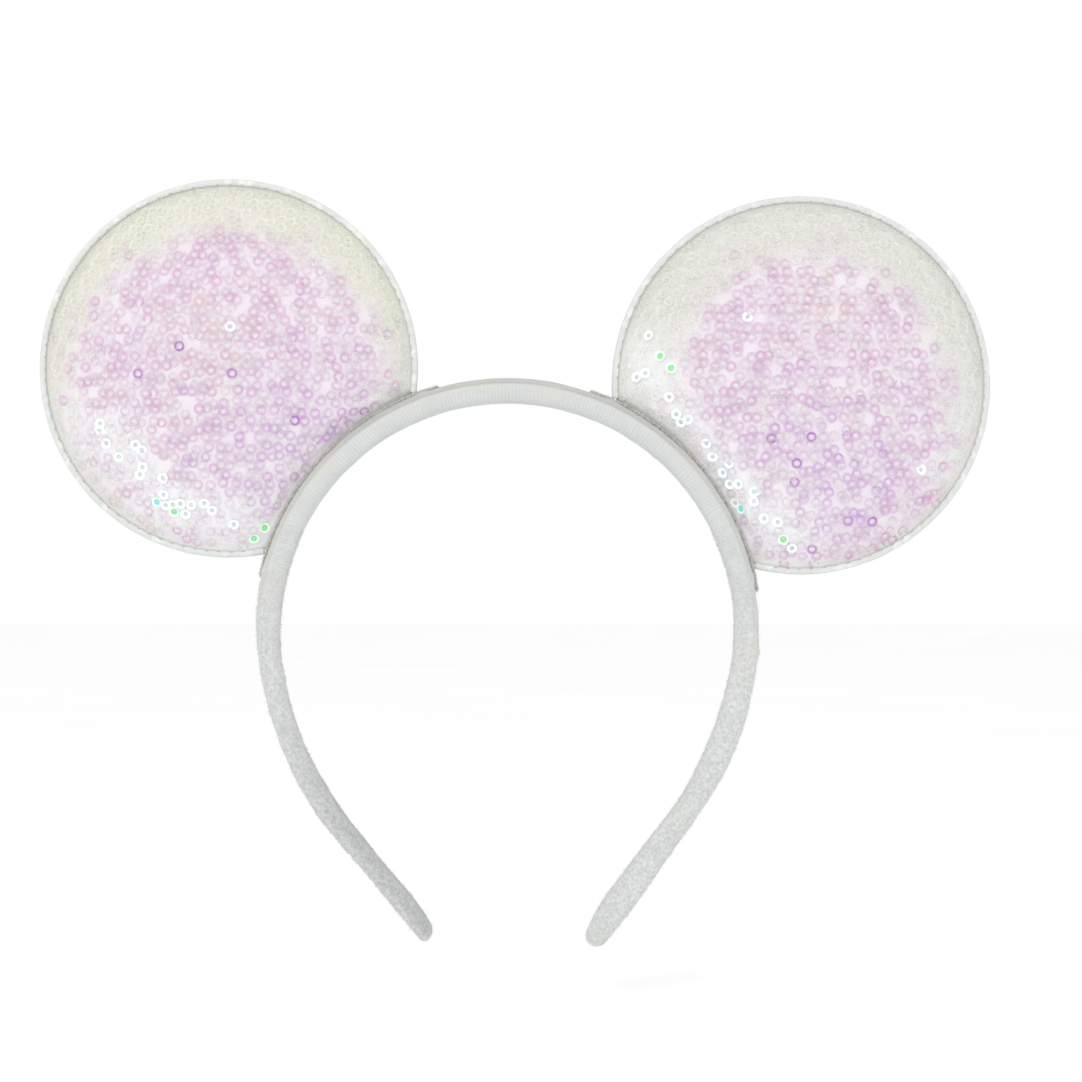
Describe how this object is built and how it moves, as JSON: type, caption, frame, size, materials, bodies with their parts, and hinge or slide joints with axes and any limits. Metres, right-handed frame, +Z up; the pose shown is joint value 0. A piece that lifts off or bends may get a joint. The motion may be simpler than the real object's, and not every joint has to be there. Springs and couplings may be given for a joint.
{
  "type": "animal ears headband",
  "caption": "Padded headband with round, domed animal ears covered in iridescent cup sequins; its sprung legs open to clip over the head.",
  "frame": {"origin": "centre of the crown's inner arc, at mid depth of the band", "axes": "+X to the right as seen from the front, +Y to the back, +Z up through the top of the crown"},
  "size_m": [0.2512, 0.0184, 0.203],
  "materials": {
    "core_plastic": "satin moulded plastic",
    "band_foam": "open foam wrap",
    "ribbed_cloth": "fine ribbed cloth, ribs across the band",
    "ear_board": "plain sheet",
    "wadding": "loose fibre wadding",
    "ear_cloth": "plain woven cloth",
    "sequins": "iridescent film, violet to green",
    "satin_binding": "satin",
    "rim_thread": "sewing thread",
    "felt": "pressed felt",
    "base_thread": "sewing thread"
  },
  "bodies": {
    "crown_and_ears": {"band_core_crown": "core_plastic", "band_padding_crown": "band_foam", "band_cover_crown": "ribbed_cloth", "left_ear_stiffener": "ear_board", "left_ear_front_wadding": "wadding", "left_ear_back_wadding": "wadding", "left_ear_front_cover": "ear_cloth", "left_ear_back_cover": "ear_cloth", "left_ear_front_sequins": "sequins", "left_ear_back_sequins": "sequins", "left_ear_rim_binding": "satin_binding", "left_ear_rim_stitches": "rim_thread", "left_ear_base_strip": "felt", "left_ear_base_stitches": "base_thread", "right_ear_stiffener": "ear_board", "right_ear_front_wadding": "wadding", "right_ear_back_wadding": "wadding", "right_ear_front_cover": "ear_cloth", "right_ear_back_cover": "ear_cloth", "right_ear_front_sequins": "sequins", "right_ear_back_sequins": "sequins", "right_ear_rim_binding": "satin_binding", "right_ear_rim_stitches": "rim_thread", "right_ear_base_strip": "felt", "right_ear_base_stitches": "base_thread"},
    "left_leg": {"band_core_left_leg": "core_plastic", "band_padding_left_leg": "band_foam", "band_cover_left_leg": "ribbed_cloth"},
    "right_leg": {"band_core_right_leg": "core_plastic", "band_padding_right_leg": "band_foam", "band_cover_right_leg": "ribbed_cloth"}
  },
  "joints": [
    {"name": "left_leg_flex", "type": "hinge", "parent": "crown_and_ears", "child": "left_leg", "pos_m": [-0.06259, 0, -0.0088], "axis": [0, 1, 0], "range_deg": [-5, 28], "stiffness_Nm_per_rad": 0.6},
    {"name": "right_leg_flex", "type": "hinge", "parent": "crown_and_ears", "child": "right_leg", "pos_m": [0.06259, 0, -0.0088], "axis": [0, -1, 0], "range_deg": [-5, 28], "stiffness_Nm_per_rad": 0.6}
  ]
}
